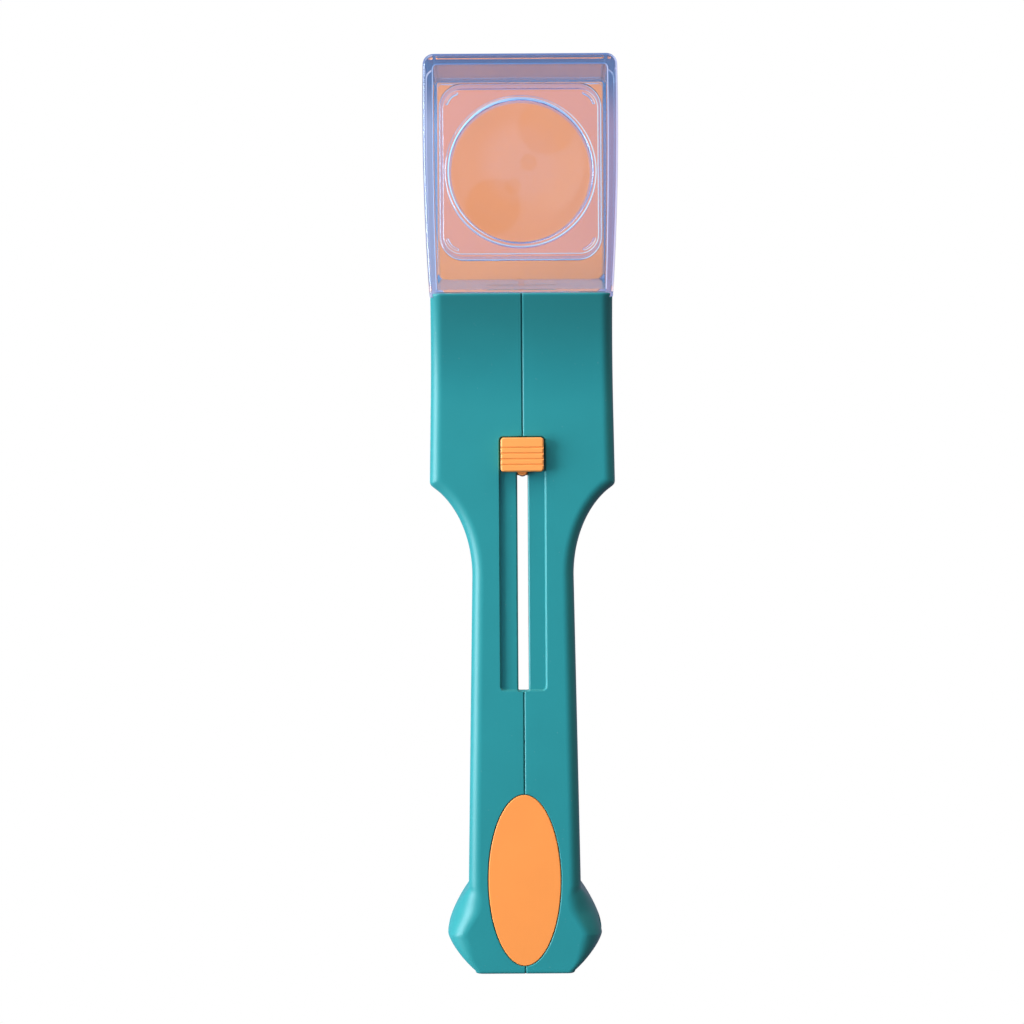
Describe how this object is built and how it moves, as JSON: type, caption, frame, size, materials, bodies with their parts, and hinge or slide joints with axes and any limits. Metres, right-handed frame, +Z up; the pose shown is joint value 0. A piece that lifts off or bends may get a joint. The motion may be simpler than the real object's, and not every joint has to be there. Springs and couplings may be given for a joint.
{
  "type": "insect catcher",
  "caption": "Hand-held catcher: a clear magnifier box on a long two-part handle, closed from below by a sliding door that a thumb knob drives along a track.",
  "frame": {"origin": "middle of the overall length and width, on the plane that the underside rests on", "axes": "+Y from the butt of the handle towards the box, +X across, +Z up through the lens"},
  "size_m": [0.0542, 0.258, 0.0306],
  "materials": {
    "shell": "satin moulded",
    "accent": "satin moulded",
    "clear": "polished clear plastic",
    "lens": "polished",
    "steel": "zinc plated"
  },
  "bodies": {
    "handle": {"left_shell": "shell", "right_shell": "shell", "front_screw": "steel", "middle_screw": "steel", "rear_screw": "steel", "viewing_box": "clear", "lens_plate": "clear", "magnifier_lens": "lens", "grip_inlay": "accent"},
    "door": {"trap_door": "accent", "slider_carriage": "accent", "thumb_knob": "accent"}
  },
  "joints": [
    {"name": "door_slide", "type": "slide", "parent": "handle", "child": "door", "axis": [0, -1, 0], "range_m": [0, 0.0606]}
  ]
}
